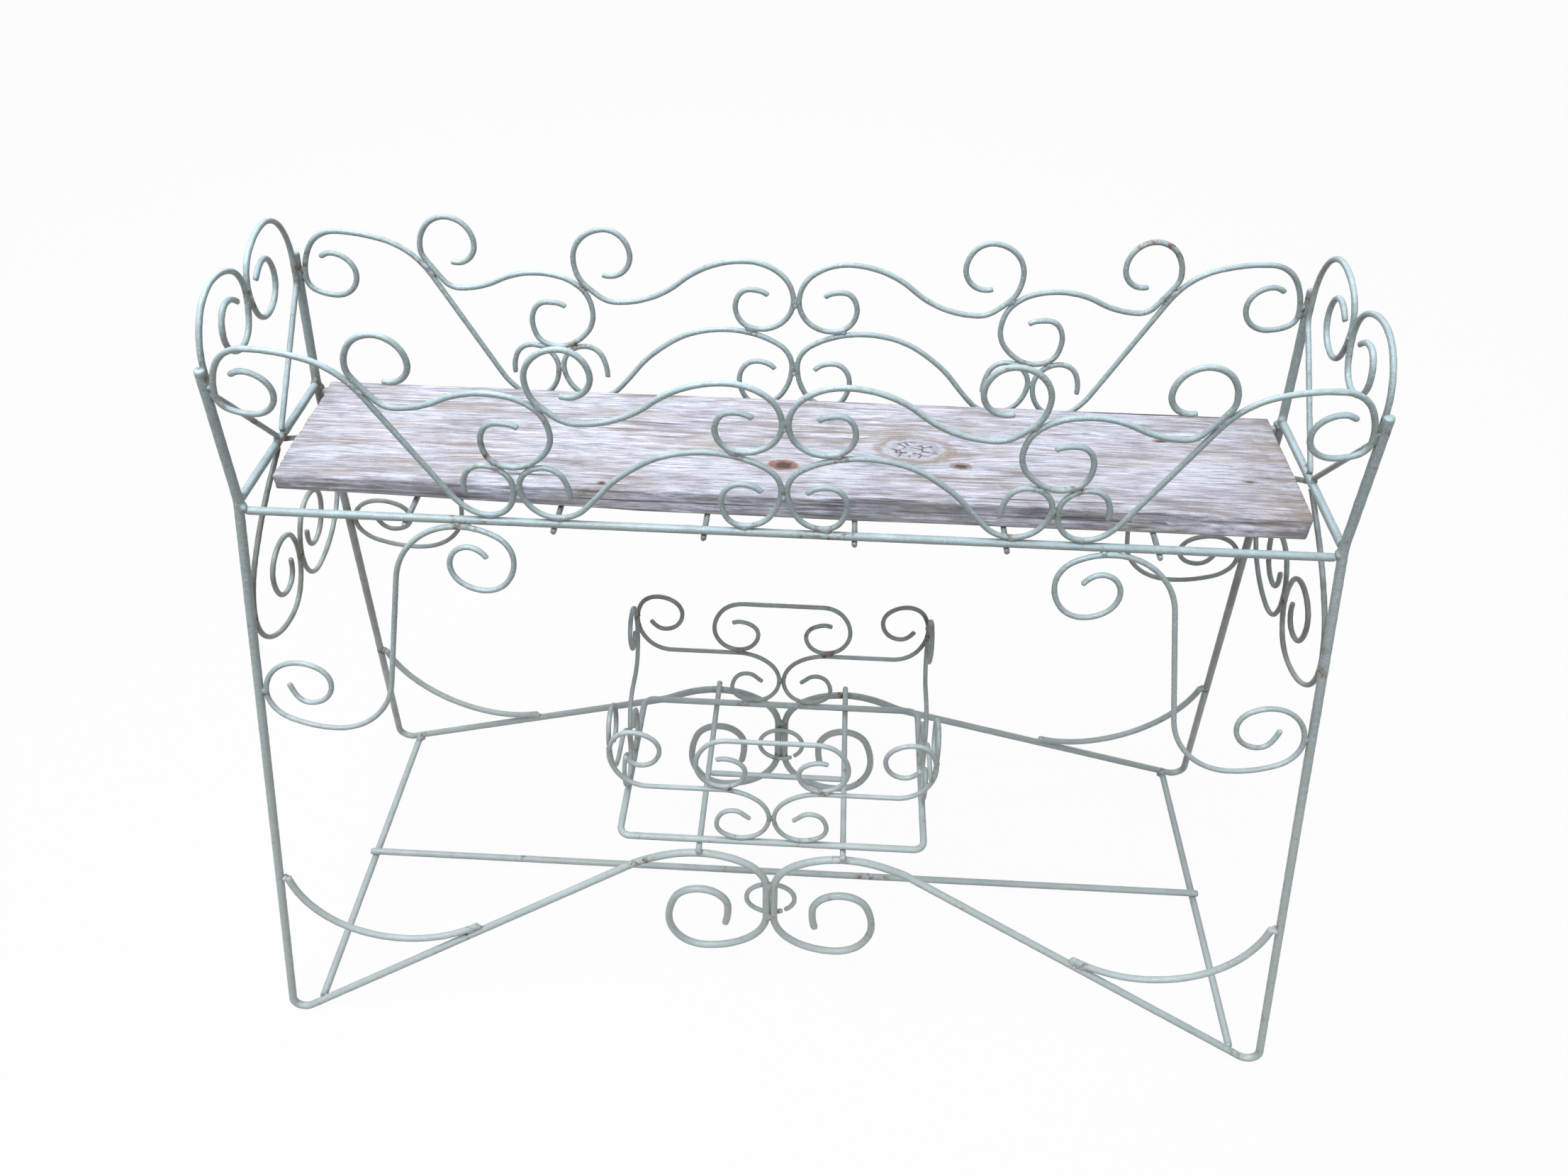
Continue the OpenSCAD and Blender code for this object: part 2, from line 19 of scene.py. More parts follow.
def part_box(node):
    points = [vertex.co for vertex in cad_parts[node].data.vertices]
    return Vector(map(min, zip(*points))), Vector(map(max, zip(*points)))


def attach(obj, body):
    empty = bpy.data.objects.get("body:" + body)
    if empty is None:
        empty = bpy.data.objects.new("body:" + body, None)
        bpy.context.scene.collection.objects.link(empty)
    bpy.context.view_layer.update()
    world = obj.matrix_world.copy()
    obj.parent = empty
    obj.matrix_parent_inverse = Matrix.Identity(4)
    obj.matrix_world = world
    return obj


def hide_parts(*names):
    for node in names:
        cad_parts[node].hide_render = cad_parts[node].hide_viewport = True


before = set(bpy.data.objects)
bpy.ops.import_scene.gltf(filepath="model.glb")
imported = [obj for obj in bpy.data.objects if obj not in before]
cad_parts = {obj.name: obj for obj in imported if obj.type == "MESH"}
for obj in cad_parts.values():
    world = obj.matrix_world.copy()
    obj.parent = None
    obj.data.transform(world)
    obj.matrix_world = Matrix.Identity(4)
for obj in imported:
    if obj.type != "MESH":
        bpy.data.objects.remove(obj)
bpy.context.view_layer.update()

MM = 0.001  # lets a small size be written in millimetres
scene = bpy.context.scene
rod_names = sorted(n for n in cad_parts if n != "board")
print("loaded", len(rod_names), "rods and a plank")

# %% [markdown]
# ## The camera
# The bench is seen from the front and well above, close enough for the near feet to spread. A plain
# perspective camera with a fairly wide lens gives that, and it needs no shift.
# %% place the camera
CAMERA_PLACE = (0.0326, -0.9246, 1.3561)
CAMERA_TURN = (48.35, -0.83, 2.91)
CAMERA_LENS = 26.8
SENSOR_WIDTH = 36
NEAREST_SEEN = 0.01

camera = bpy.data.objects.new("camera", bpy.data.cameras.new("camera"))
scene.collection.objects.link(camera)
camera.location = CAMERA_PLACE
camera.rotation_euler = [math.radians(a) for a in CAMERA_TURN]
camera.data.lens = CAMERA_LENS
camera.data.sensor_width = SENSOR_WIDTH
camera.data.clip_start = NEAREST_SEEN
scene.camera = camera
print("camera at", CAMERA_PLACE)

# %% [markdown]
# ## Light
# The bench stood outdoors under a bright even sky, so the light is one large soft lamp above, a weaker one
# from the front, another behind, and a pale world.
# %% lights
LOOKED_AT = (0, 0, 0.5)
LAMPS = [
    {"name": "sky_lamp", "place": (-0.7, -0.6, 2.9), "size": 1.8, "watts": 88},
    {"name": "front_lamp", "place": (0.9, -2.6, 1.7), "size": 1.2, "watts": 26},
    {"name": "back_lamp", "place": (-0.5, 2.6, 2.0), "size": 1.6, "watts": 22},
]
SKY_COLOUR = (0.93, 0.96, 1.0, 1)
SKY_STRENGTH = 0.26


def soft_lamp(name, place, size, watts):
    """A round lamp at place that shines towards the middle of the bench."""
    lamp = bpy.data.lights.new(name, "AREA")
    lamp.shape = "DISK"
    lamp.size = size
    lamp.energy = watts
    item = bpy.data.objects.new(name, lamp)
    scene.collection.objects.link(item)
    item.location = place
    item.rotation_euler = (Vector(LOOKED_AT) - Vector(place)).to_track_quat("-Z", "Y").to_euler()


for lamp in LAMPS:
    soft_lamp(**lamp)
world = bpy.data.worlds.new("pale_world")
scene.world = world
world.use_nodes = True
sky = world.node_tree.nodes["Background"]
sky.inputs["Color"].default_value = SKY_COLOUR
sky.inputs["Strength"].default_value = SKY_STRENGTH
print(len(LAMPS), "lamps and a pale world")

# %% [markdown]
# ## White to the eye, pale to the object
# The background has to look plain white without throwing more light on the bench. A ray from the camera,
# from gloss or through glass therefore meets white, and every other ray meets the floor or sky as it is.
# The floor keeps a small share of its own grey even for the camera, so the feet have a soft shadow on it.
# %% white background
def seen_directly(tree):
    """A socket that is 1 for rays from the camera, gloss or glass, and 0 for light on the object."""
    path = tree.nodes.new("ShaderNodeLightPath")
    seen = None
    for kind in ("Is Camera Ray", "Is Glossy Ray", "Is Transmission Ray"):
        if seen is None:
            seen = path.outputs[kind]
            continue
        either = tree.nodes.new("ShaderNodeMath")
        either.operation = "MAXIMUM"
        tree.links.new(seen, either.inputs[0])
        tree.links.new(path.outputs[kind], either.inputs[1])
        seen = either.outputs[0]
    return seen


def mix_in_white(tree, surface, white, share, output):
    """Shows white in place of surface where share is 1, through the named output node."""
    mix = tree.nodes.new("ShaderNodeMixShader")
    tree.links.new(share, mix.inputs["Fac"])
    tree.links.new(surface.outputs[0], mix.inputs[1])
    tree.links.new(white.outputs[0], mix.inputs[2])
    tree.links.new(mix.outputs[0], tree.nodes[output].inputs["Surface"])


white_sky = world.node_tree.nodes.new("ShaderNodeBackground")
white_sky.inputs["Color"].default_value = (1, 1, 1, 1)
white_sky.inputs["Strength"].default_value = 1
mix_in_white(world.node_tree, sky, white_sky, seen_directly(world.node_tree), "World Output")
print("white sky for the camera")

# %% [markdown]
# ## Floor
# The floor is a big plain plane. It lies half a millimetre low, so that the feet never flicker through it.
# %% floor
FLOOR_HALF = 14
FLOOR_DROP = 0.5 * MM
FLOOR_COLOUR = (0.5, 0.5, 0.5, 1)
FLOOR_ROUGHNESS = 0.9
FLOOR_WHITENESS = 0.96


def new_material(name):
    """A material with nodes, and its Principled surface."""
    material = bpy.data.materials.new(name)
    material.use_nodes = True
    return material, material.node_tree.nodes["Principled BSDF"]


def new_object(name, bm):
    """An object in the scene with the shape built in bm."""
    mesh = bpy.data.meshes.new(name)
    bm.to_mesh(mesh)
    bm.free()
    item = bpy.data.objects.new(name, mesh)
    scene.collection.objects.link(item)
    return item


bm = bmesh.new()
bmesh.ops.create_grid(bm, x_segments=1, y_segments=1, size=FLOOR_HALF)
floor = new_object("floor", bm)
floor_white, surface = new_material("floor_white")
surface.inputs["Base Color"].default_value = FLOOR_COLOUR
surface.inputs["Roughness"].default_value = FLOOR_ROUGHNESS
share = floor_white.node_tree.nodes.new("ShaderNodeMath")
share.operation = "MULTIPLY"
share.inputs[1].default_value = FLOOR_WHITENESS
floor_white.node_tree.links.new(seen_directly(floor_white.node_tree), share.inputs[0])
glow = floor_white.node_tree.nodes.new("ShaderNodeEmission")
mix_in_white(floor_white.node_tree, surface, glow, share.outputs[0], "Material Output")
floor.data.materials.append(floor_white)
floor.location.z = -FLOOR_DROP
print("floor laid")

# %% [markdown]
# ## Small helpers for node materials
# Both finishes are built from noise in the object's own coordinates. These helpers keep each node to one
# line. An effect that both materials use becomes a node group with named sockets.
# %% node helpers
class NodeSheet:
    """A node tree with short calls for the nodes these materials use."""

    def __init__(self, tree):
        self.tree = tree

    def node(self, kind, **settings):
        made = self.tree.nodes.new(kind)
        for key, value in settings.items():
            setattr(made, key, value)
        return made

    def link(self, a, b):
        self.tree.links.new(a, b)

    def feed(self, socket, value):
        if hasattr(value, "is_output"):
            self.link(value, socket)
        elif isinstance(value, (tuple, list)) and len(value) == 3 and socket.type == "RGBA":
            socket.default_value = (*value, 1)
        else:
            socket.default_value = value

    def math(self, operation, a, b=0.0, clamp=False):
        n = self.node("ShaderNodeMath", operation=operation, use_clamp=clamp)
        self.feed(n.inputs[0], a)
        self.feed(n.inputs[1], b)
        return n.outputs[0]

    def times(self, a, b, clamp=False):
        return self.math("MULTIPLY", a, b, clamp)

    def stretch(self, vector, scale, shift=(0, 0, 0)):
        n = self.node("ShaderNodeMapping")
        self.feed(n.inputs["Vector"], vector)
        n.inputs["Scale"].default_value = scale
        n.inputs["Location"].default_value = shift
        return n.outputs[0]

    def noise(self, vector, scale, detail=3.0, rough=0.5):
        n = self.node("ShaderNodeTexNoise")
        self.feed(n.inputs["Vector"], vector)
        self.feed(n.inputs["Scale"], scale)
        n.inputs["Detail"].default_value = detail
        n.inputs["Roughness"].default_value = rough
        return n.outputs["Fac"]

    def ramp(self, value, low, high, start=0.0, end=1.0):
        n = self.node("ShaderNodeMapRange", clamp=True)
        self.feed(n.inputs["Value"], value)
        self.feed(n.inputs["From Min"], low)
        self.feed(n.inputs["From Max"], high)
        self.feed(n.inputs["To Min"], start)
        self.feed(n.inputs["To Max"], end)
        return n.outputs["Result"]

    def blend(self, share, a, b):
        n = self.node("ShaderNodeMix", data_type="RGBA")
        self.feed(n.inputs[0], share)
        self.feed(n.inputs[6], a)
        self.feed(n.inputs[7], b)
        return n.outputs[2]

    def lay(self, coat, colour, mask, share):
        """The colour with a coat over it where the mask is, at most the share of the way."""
        return self.blend(self.times(mask, share), colour, coat)

    def bump(self, height, strength, distance, under=None):
        n = self.node("ShaderNodeBump")
        n.inputs["Strength"].default_value = strength
        n.inputs["Distance"].default_value = distance
        self.feed(n.inputs["Height"], height)
        if under is not None:
            self.link(under, n.inputs["Normal"])
        return n.outputs["Normal"]

    def parts(self, vector):
        n = self.node("ShaderNodeSeparateXYZ")
        self.link(vector, n.inputs[0])
        return n.outputs

    def facing(self):
        """The way the surface faces, as X, Y and Z."""
        return self.parts(self.node("ShaderNodeNewGeometry").outputs["Normal"])

    def place(self):
        return self.node("ShaderNodeTexCoord").outputs["Object"]

    def mark(self, name):
        return self.node("ShaderNodeAttribute", attribute_name=name).outputs["Fac"]


def effect_group(name, numbers, outputs):
    """A node group with a Place input, a number input for each name, and the named outputs."""
    tree = bpy.data.node_groups.new(name, "ShaderNodeTree")
    tree.interface.new_socket("Place", in_out="INPUT", socket_type="NodeSocketVector")
    for key, value in numbers.items():
        made = tree.interface.new_socket(key, in_out="INPUT", socket_type="NodeSocketFloat")
        made.default_value = value
    for key in outputs:
        tree.interface.new_socket(key, in_out="OUTPUT", socket_type="NodeSocketFloat")
    sheet = NodeSheet(tree)
    inside = sheet.node("NodeGroupInput").outputs
    outside = sheet.node("NodeGroupOutput").inputs
    return sheet, inside, outside


def use_group(sheet, name, place, **numbers):
    n = sheet.node("ShaderNodeGroup", node_tree=bpy.data.node_groups[name])
    sheet.feed(n.inputs["Place"], place)
    for key, value in numbers.items():
        sheet.feed(n.inputs[key], value)
    return n.outputs


print("helpers ready")

# %% [markdown]
# ## Blotches and grit
# Old outdoor surfaces share two things: soft blotches a few centimetres wide, where the weather has worn
# unevenly, and fine grit of about a millimetre. A group makes each, and the material sets its size.
# %% blotch and grit groups
sheet, given, out = effect_group("blotches", {"Size": 20.0, "Low": 0.4, "High": 0.6}, ["Mask"])
coarse = sheet.noise(given["Place"], given["Size"], 5, 0.62)
sheet.link(sheet.ramp(coarse, given["Low"], given["High"]), out["Mask"])

sheet, given, out = effect_group("grit", {"Size": 900.0}, ["Grain", "Pits"])
fine = sheet.noise(given["Place"], given["Size"], 2)
pits = sheet.noise(given["Place"], sheet.times(given["Size"], 0.35), 3)
sheet.link(fine, out["Grain"])
sheet.link(sheet.ramp(pits, 0.62, 0.7), out["Pits"])
print("groups:", [g.name for g in bpy.data.node_groups])

# %% [markdown]
# ## The paint on the rods
# The paint is a matt grey green. On the real bench it is chalky and speckled, brown where water has sat at
# the welds, and orange where rust has broken through. Upward faces are painted pale as painted light, and
# undersides and the rods below the plank are painted darker and browner, as painted shade mixed with grime.
# The rods carry an attribute called joint, which is 1 at the middle of a weld and fades to 0 a few
# centimetres away, so rust starts where it really does.
# %% paint colours
PAINT = (0.27, 0.345, 0.365)
PAINT_LIT_PALE = (0.465, 0.62, 0.69)
PAINT_DULL_AND_SHADE = (0.175, 0.21, 0.21)
DUSTY = (0.42, 0.46, 0.455)
UNDER_PLANK_SHADE_BROWN = (0.105, 0.10, 0.08)
STAIN_AND_SHADE = (0.16, 0.125, 0.085)
RUST = (0.19, 0.07, 0.022)
RUST_DARK = (0.05, 0.03, 0.02)
OLD_WHITE = (0.62, 0.63, 0.58)


def rod_paint(name, wear, underside_dirt_and_shade, under_plank_shade):
    """The rods' finish. wear sets how much rust shows; the next number sets how brown and dark the undersides
    are painted, as grime and painted shade; and the last sets how dark the rods below the plank are painted,
    as painted shade from the plank mixed with grime."""
    material, surface = new_material(name)
    sheet = NodeSheet(material.node_tree)
    place = sheet.place()
    height = sheet.parts(place)["Z"]
    up = sheet.facing()["Z"]
    grit = use_group(sheet, "grit", place, Size=850.0)
    chalk = use_group(sheet, "blotches", place, Size=26.0, Low=0.42, High=0.68)["Mask"]
    apart = sheet.stretch(place, (1, 1, 1), (3, 1, 2))
    dull = use_group(sheet, "blotches", apart, Size=60.0, Low=0.5, High=0.72)["Mask"]
    colour = sheet.blend(sheet.ramp(grit["Grain"], 0.3, 0.72), PAINT_DULL_AND_SHADE, PAINT)
    # Upward faces are painted pale blue as painted light, broken up by chalky blotches
    lit_tops = sheet.times(sheet.ramp(up, 0.1, 0.9), sheet.ramp(chalk, 0.0, 1.0, 0.5, 1.0))
    colour = sheet.lay(PAINT_LIT_PALE, colour, lit_tops, 0.85)
    # Down-facing sides are painted duller, as painted shade
    colour = sheet.lay(PAINT_DULL_AND_SHADE, colour, sheet.ramp(up, 0.35, -0.6), 0.4)
    colour = sheet.lay(PAINT_DULL_AND_SHADE, colour, dull, 0.35)
    colour = sheet.lay(OLD_WHITE, colour, sheet.ramp(sheet.noise(place, 520, 2), 0.64, 0.7), 0.5)
    # Splashed dust greys the lower half, and undersides are painted browner in patches, as grime and painted
    # shade
    drift = sheet.math("SUBTRACT", sheet.noise(place, 9, 3), 0.5)
    splash = sheet.math("ADD", sheet.ramp(height, 0.75, 0.2), drift)
    colour = sheet.blend(sheet.times(splash, 0.6, clamp=True), colour, DUSTY)
    underside_grime_and_shade = sheet.times(sheet.ramp(up, 0.1, -0.8), sheet.ramp(sheet.noise(place, 45, 5, 0.65), 0.38, 0.62))
    colour = sheet.lay(STAIN_AND_SHADE, colour, underside_grime_and_shade, underside_dirt_and_shade)
    # The rods below the plank are painted dark brown in patches, as painted shade from the plank mixed with
    # grime
    under_plank = sheet.times(sheet.ramp(height, 0.15, 0.55), sheet.ramp(height, 0.72, 0.69))
    under_plank_shade_and_grime = sheet.times(under_plank, sheet.ramp(sheet.noise(place, 15, 5, 0.6), 0.32, 0.58))
    colour = sheet.lay(UNDER_PLANK_SHADE_BROWN, colour, under_plank_shade_and_grime, under_plank_shade)
    # Rust creeps out from the welds and breaks through in a few places along the rod
    creep = sheet.math("ADD", sheet.noise(place, 75, 6, 0.7), sheet.times(sheet.mark("joint"), 0.15 * wear))
    rare = sheet.ramp(sheet.noise(sheet.stretch(place, (1, 1, 1), (7, 3, 5)), 11, 3), 0.64, 0.7)
    spots = sheet.times(rare, sheet.ramp(sheet.noise(place, 130, 5, 0.7), 0.48, 0.6))
    stain = sheet.math("MAXIMUM", sheet.ramp(creep, 0.62, 0.74), sheet.times(spots, wear), clamp=True)
    colour = sheet.lay(STAIN_AND_SHADE, colour, stain, 0.75)
    core = sheet.ramp(sheet.times(stain, sheet.noise(place, 210, 4, 0.6)), 0.42, 0.6)
    colour = sheet.blend(core, colour, sheet.blend(sheet.noise(place, 400, 2), RUST, RUST_DARK))
    sheet.link(colour, surface.inputs["Base Color"])
    rough = sheet.ramp(grit["Grain"], 0.3, 0.7, 0.26, 0.5)
    sheet.link(sheet.ramp(stain, 0.0, 1.0, rough, 0.85), surface.inputs["Roughness"])
    surface.inputs["Specular IOR Level"].default_value = 0.45
    lumps = sheet.bump(sheet.noise(place, 160, 3, 0.6), 0.5, 1.2 * MM)
    skin = sheet.bump(grit["Grain"], 0.35, 0.5 * MM, lumps)
    sheet.link(sheet.bump(grit["Pits"], 0.5, -0.4 * MM, skin), surface.inputs["Normal"])
    return material


# Two copies of one paint: the second is painted darker and browner, as painted shade on the rods below the
# plank, and rusts a little more
open_paint = rod_paint("frame_paint_worn", wear=1.0, underside_dirt_and_shade=0.7, under_plank_shade=0.12)
shaded_paint_under_plank = rod_paint("frame_paint_shaded_under_plank", wear=1.25, underside_dirt_and_shade=1.0, under_plank_shade=0.8)
print("paint mixed")

# %% [markdown]
# ## Where the rods touch
# Two rods are welded wherever they touch. The script finds those places itself: for each pair of rods whose
# boxes meet, it looks for points of one that lie within a millimetre of the other, and gathers neighbours
# into one weld. Each weld keeps its middle, the way the touching line runs, and the way the surface faces.
# %% find the welds
TOUCH = 1.0 * MM
WELD_SPACING = 9 * MM
AXES = range(3)

trees, points, boxes = {}, {}, {}
for name in rod_names:
    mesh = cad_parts[name].data
    points[name] = [(v.co.copy(), v.normal.copy()) for v in mesh.vertices]
    corners = [tuple(f.vertices) for f in mesh.polygons]
    trees[name] = BVHTree.FromPolygons([p for p, _ in points[name]], corners)
    boxes[name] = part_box(name)


def meet(a, b):
    """Whether the boxes of two rods come within touching distance."""
    (a_low, a_high), (b_low, b_high) = boxes[a], boxes[b]
    return all(a_low[i] - TOUCH < b_high[i] and b_low[i] - TOUCH < a_high[i] for i in AXES)


def touching(a, b):
    """Points halfway between a and b where they touch, each with a's normal there."""
    low = [v - TOUCH for v in boxes[b][0]]
    high = [v + TOUCH for v in boxes[b][1]]
    found = []
    for p, n in points[a]:
        if all(low[i] <= p[i] <= high[i] for i in AXES):
            near = trees[b].find_nearest(p, TOUCH)
            if near[0] is not None:
                found.append(((p + near[0]) / 2, n))
    return found


def gather(found):
    """Groups touching points that lie within one weld's spacing of the group's first point."""
    groups = []
    for p, n in found:
        for g in groups:
            if (g[0][0] - p).length < WELD_SPACING:
                g.append((p, n))
                break
        else:
            groups.append([(p, n)])
    return groups


welds = []
for i, a in enumerate(rod_names):
    for b in rod_names[i + 1:]:
        if not meet(a, b):
            continue
        found = touching(a, b) or touching(b, a)
        for group in gather(found):
            middle = sum((p for p, _ in group), Vector()) / len(group)
            facing = sum((n for _, n in group), Vector())
            run = max((p - middle for p, _ in group), key=lambda d: d.length)
            welds.append({"rod": a, "other": b, "middle": middle, "facing": facing, "run": run})
print("found", len(welds), "welds")

# %% [markdown]
# ## From CAD rod to finished rod
# A CAD rod is made of loose triangles with sharp cut ends. On the real bench the rods are bent by hand, their
# ends are softened by paint, and each weld leaves a small lump. So each finished rod starts as a copy of its
# CAD rod. A lump is added where it is welded, a voxel remesh joins rod and lumps into one closed skin, and a
# little smoothing blends them. Last, a faint random swell takes away the machine-made look.
# %% finish the rods
VOXEL = {"leg": 1.55 * MM, "rail": 1.5 * MM, "ground": 1.6 * MM, "stretcher": 1.6 * MM, "brace": 1.4 * MM}
FINE_VOXEL = 1.15 * MM
SWELL = 0.14 * MM
SMOOTH_PASSES = 3
REGAIN = 0.09  # smoothing thins a rod by about this share of a voxel
JOINT_REACH = 26 * MM
CLOSE_CORNERS = 0.001 * MM
LUMP_LENGTH, LUMP_HEIGHT, LUMP_DEPTH = (1.2, 1.8), (0.85, 1.08), (0.6, 0.8)  # shares of the rod's radius
LUMP_SHIFT = (-0.25, 0.25)
LUMP_ROUGHNESS = 0.22
# Rods that stand in the plank's shade, which get the copy of the paint with painted shade
SHADED_UNDER_PLANK = ("bracket_back", "end_bracket", "shelf_rods", "basket_side", "basket_back", "leg_back",
             "brace_back")
RADIUS = {"leg": 4.5 * MM, "ground": 4.5 * MM, "stretcher": 4.5 * MM, "rail": 4.0 * MM, "brace": 4.0 * MM}
SCROLL_RADIUS = 2.75 * MM


def add_weld_lump(bm, weld, dice, radius):
    """A squashed ball along the touching line, turned to lie in the crease between the two rods."""
    facing = weld["facing"].normalized() if weld["facing"].length > 1e-9 else Vector((0, 0, 1))
    run = weld["run"] - facing * weld["run"].dot(facing)
    run = run.normalized() if run.length > 1e-6 else facing.orthogonal().normalized()
    across = facing.cross(run)
    length = radius * dice.uniform(*LUMP_LENGTH)
    height = radius * dice.uniform(*LUMP_HEIGHT)
    depth = radius * dice.uniform(*LUMP_DEPTH)
    turn = Matrix((run * length, across * height, facing * depth)).transposed().to_4x4()
    turn.translation = weld["middle"] + across * dice.uniform(*LUMP_SHIFT) * radius
    ball = bmesh.ops.create_icosphere(bm, subdivisions=2, radius=1.0, matrix=turn)
    for v in ball["verts"]:
        v.co += (v.co - weld["middle"]) * LUMP_ROUGHNESS * noise.noise(v.co * 420)


def voxel_skin(item, size):
    """Gives the object a closed voxel skin and keeps the result as plain mesh."""
    remesh = item.modifiers.new("skin", "REMESH")
    remesh.mode = "VOXEL"
    remesh.voxel_size = size
    remesh.adaptivity = 0
    remesh.use_smooth_shade = True
    graph = bpy.context.evaluated_depsgraph_get()
    mesh = bpy.data.meshes.new_from_object(item.evaluated_get(graph))
    item.modifiers.clear()
    old = item.data
    item.data = mesh
    bpy.data.meshes.remove(old)


def rod_radius(name):
    """Half the thickness of a rod. What isn't listed is scroll rod."""
    if name.startswith("basket_ring"):
        return RADIUS["rail"]
    return RADIUS.get(name.split("_")[0], SCROLL_RADIUS)


weld_points = KDTree(len(welds))
for i, weld in enumerate(welds):
    weld_points.insert(weld["middle"], i)
weld_points.balance()
dice = random.Random(7)
finished = []
for name in rod_names:
    bm = bmesh.new()
    bm.from_mesh(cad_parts[name].data)
    bmesh.ops.remove_doubles(bm, verts=bm.verts, dist=CLOSE_CORNERS)
    for weld in welds:
        if weld["rod"] == name:
            add_weld_lump(bm, weld, dice, min(rod_radius(name), rod_radius(weld["other"])))
    piece = new_object(name + "_finish", bm)
    size = VOXEL.get(name.split("_")[0], FINE_VOXEL)
    voxel_skin(piece, size)
    bm = bmesh.new()
    bm.from_mesh(piece.data)
    for _ in range(SMOOTH_PASSES):
        bmesh.ops.smooth_vert(bm, verts=bm.verts, factor=0.5, use_axis_x=True, use_axis_y=True,
                              use_axis_z=True)
    bm.normal_update()
    layer = bm.verts.layers.float.new("joint")
    for v in bm.verts:
        v.co += v.normal * (size * REGAIN + SWELL * noise.noise(v.co * 95))
        near = weld_points.find(v.co)[2]
        v[layer] = max(0.0, 1 - near / JOINT_REACH) ** 1.5
    for f in bm.faces:
        f.smooth = True
    bm.to_mesh(piece.data)
    bm.free()
    piece.data.materials.clear()
    # rods in the plank's shade get the paint with painted shade
    piece.data.materials.append(shaded_paint_under_plank if name.startswith(SHADED_UNDER_PLANK) else open_paint)
    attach(piece, "frame")
    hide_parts(name)
    finished.append(2 * len(piece.data.polygons))
print("finished", len(finished), "rods,", sum(finished), "triangles, largest", max(finished))

# %% [markdown]
# ## The plank
# The plank is one loose board of silvery old wood, about a metre long. It starts as a block with its edges
# rounded, cut into a fine grid so that its surface can be pushed about.
# %% plank block
board_low, board_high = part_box("board")
board_size = board_high - board_low
board_centre = (board_high + board_low) / 2
EDGE_ROUND = 2.2 * MM
EDGE_STEPS = 3
GRID = (4.5 * MM, 1.25 * MM, 1.9 * MM)


def runs_along(edge, axis):
    """Whether a long edge is in line with an axis. The short ones round the corners don't count."""
    way = edge.verts[1].co - edge.verts[0].co
    return abs(way.normalized()[axis]) > 0.999 and way.length > 3 * EDGE_ROUND


bm = bmesh.new()
sized = Matrix.Translation(board_centre) @ Matrix.Diagonal((*board_size, 1))
bmesh.ops.create_cube(bm, size=1.0, matrix=sized)
bmesh.ops.bevel(bm, geom=bm.edges[:], offset=EDGE_ROUND, offset_type="OFFSET", segments=EDGE_STEPS,
                profile=0.5, affect="EDGES", clamp_overlap=True, material=-1)
for axis in AXES:
    along = [e for e in bm.edges if runs_along(e, axis)]
    cuts = int(board_size[axis] / GRID[axis])
    bmesh.ops.subdivide_edges(bm, edges=along, cuts=cuts, use_grid_fill=True)
print("plank block", len(bm.faces), "faces")

# %% [markdown]
# ## Knots
# A knot is where a branch left the trunk. The grain runs round it, and it dries harder than the wood beside
# it. Each one here has its place on the board, its half length along the grain, its half width, and how far
# it rises. The big one stands a little proud, and the others, with a rise below nought, have sunk.
# %% knots
KNOT_REACH = 1.9  # how far out a knot bends the grain, in its own sizes
KNOTS = [
    {"at": (0.120, 0.008), "half": (0.034, 0.020), "rise": 0.7 * MM},
    {"at": (-0.004, -0.026), "half": (0.016, 0.009), "rise": -0.7 * MM},
    {"at": (0.362, 0.040), "half": (0.010, 0.003), "rise": -0.6 * MM},
    {"at": (0.432, -0.022), "half": (0.008, 0.003), "rise": -0.6 * MM},
    {"at": (0.163, -0.016), "half": (0.012, 0.006), "rise": -0.5 * MM},
    {"at": (-0.170, -0.066), "half": (0.005, 0.003), "rise": -0.5 * MM},
]


def knot_lift(x, y):
    """How far the knots raise or sink the top here."""
    lift = 0.0
    for knot in KNOTS:
        dx = (x - knot["at"][0]) / knot["half"][0]
        dy = (y - knot["at"][1]) / knot["half"][1]
        lift += knot["rise"] * math.exp(-(dx * dx + dy * dy))
    return lift


print(len(KNOTS), "knots")

# %% [markdown]
# ## Weathering the plank
# Its left end is ragged, its long edges wander, its front edge has split into thin layers, and the underside
# has worn thin at the front left. Nearly every push goes inwards, so the plank keeps its real size. Only the
# big knot and the ripples of the grain can lift the top, by less than a millimetre.
# %% push the surface
SPLIT_DEEP = 2.6 * MM
THIN_LEFT = 9 * MM
THIN_REACH = 0.34
RAGGED_LEFT = 4.5 * MM
RAGGED_RIGHT = 0.9 * MM
END_REACH = 30 * MM
EDGE_REACH = 12 * MM
WANDER = 1.6 * MM
TOP_WORN = 0.55 * MM
RIPPLE = 0.28 * MM
HOLLOW = 0.3 * MM
FRONT_WORN = 1.6 * MM
UNDER_WORN = 0.3 * MM


def noise_at(x, y, z):
    return noise.noise(Vector((x, y, z)))


def layer_split(x, z):
    """How deep the front edge has weathered back, from 0 to about 1, in thin layers that wander along it."""
    wave = z * 900 + 2.2 * noise_at(x * 3.0, 0, 4)
    thin = abs(math.sin(wave + 2.0 * noise_at(x * 7, z * 240, 9)))
    open_here = max(0.0, noise_at(x * 4.2, z * 160, 21) + 0.18)
    return max(0.0, 1 - thin * 2.4) * open_here + 0.25 * open_here


def nearness(distance, reach):
    """1 at the edge, falling to 0 at reach."""
    return max(0.0, 1 - distance / reach)


